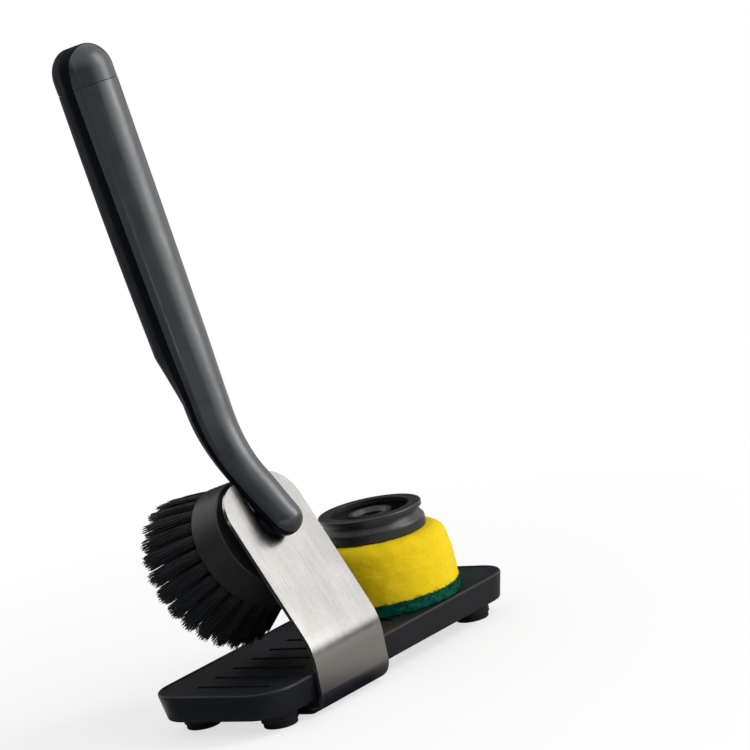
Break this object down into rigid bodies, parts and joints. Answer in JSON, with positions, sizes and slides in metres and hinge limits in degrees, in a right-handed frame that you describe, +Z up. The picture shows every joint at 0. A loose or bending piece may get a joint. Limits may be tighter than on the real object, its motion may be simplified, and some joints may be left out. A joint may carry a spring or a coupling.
{
  "type": "dish wand",
  "caption": "Dish wand with a bent refillable handle and a round brush head, hung in a bent steel holder on a drip tray beside a spare sponge head.",
  "frame": {"origin": "on the table under the middle of the set's outer box, at the underside of the rubber feet", "axes": "+Z up, +X along the drip tray from the brush end to the sponge end, +Y to the back"},
  "size_m": [0.2144, 0.1056, 0.3377],
  "materials": {
    "tray_plastic": "satin moulded plastic, near black",
    "foot_rubber": "matte black rubber",
    "holder_steel": "brushed stainless steel",
    "screw_steel": "plain stainless steel",
    "front_shell_plastic": "satin charcoal plastic",
    "rear_shell_plastic": "satin blue-black plastic",
    "tank_plastic": "pale moulded plastic",
    "tube_silicone": "clear-grey silicone",
    "seal_rubber": "black sealing rubber",
    "head_plastic": "satin black plastic",
    "bristle_nylon": "black nylon bristle",
    "sponge_foam": "open-cell yellow foam",
    "scourer_fibre": "green non-woven abrasive fibre"
  },
  "bodies": {
    "base": {"drip_tray": "tray_plastic", "foot_pad_front_left": "foot_rubber", "foot_pad_front_right": "foot_rubber", "foot_pad_back_left": "foot_rubber", "foot_pad_back_right": "foot_rubber", "steel_holder": "holder_steel", "holder_screws": "screw_steel"},
    "wand": {"handle_front_shell": "front_shell_plastic", "handle_rear_shell": "rear_shell_plastic", "soap_tank": "tank_plastic", "feed_tube": "tube_silicone", "head_coupling": "head_plastic", "coupling_seal": "seal_rubber", "outlet_valve": "seal_rubber"},
    "cap": {"end_cap": "front_shell_plastic", "cap_seal": "seal_rubber"},
    "brush_head": {"brush_body": "head_plastic", "outer_tufts": "bristle_nylon", "middle_tufts": "bristle_nylon", "inner_tufts": "bristle_nylon"},
    "sponge_head": {"sponge_collar": "head_plastic", "sponge_foam": "sponge_foam", "scourer_layer": "scourer_fibre"}
  },
  "joints": [
    {"name": "wand_lift", "type": "slide", "parent": "base", "child": "wand", "axis": [0, 0.454, 0.891], "range_m": [0, 0.07]},
    {"name": "cap_pull", "type": "slide", "parent": "wand", "child": "cap", "axis": [0, 0.1788, 0.9839], "range_m": [0, 0.025]},
    {"name": "brush_pull", "type": "slide", "parent": "wand", "child": "brush_head", "axis": [0, 0.891, -0.454], "range_m": [0, 0.0095]},
    {"name": "sponge_lift", "type": "slide", "parent": "base", "child": "sponge_head", "axis": [0, 0, 1], "range_m": [0, 0.06]}
  ]
}
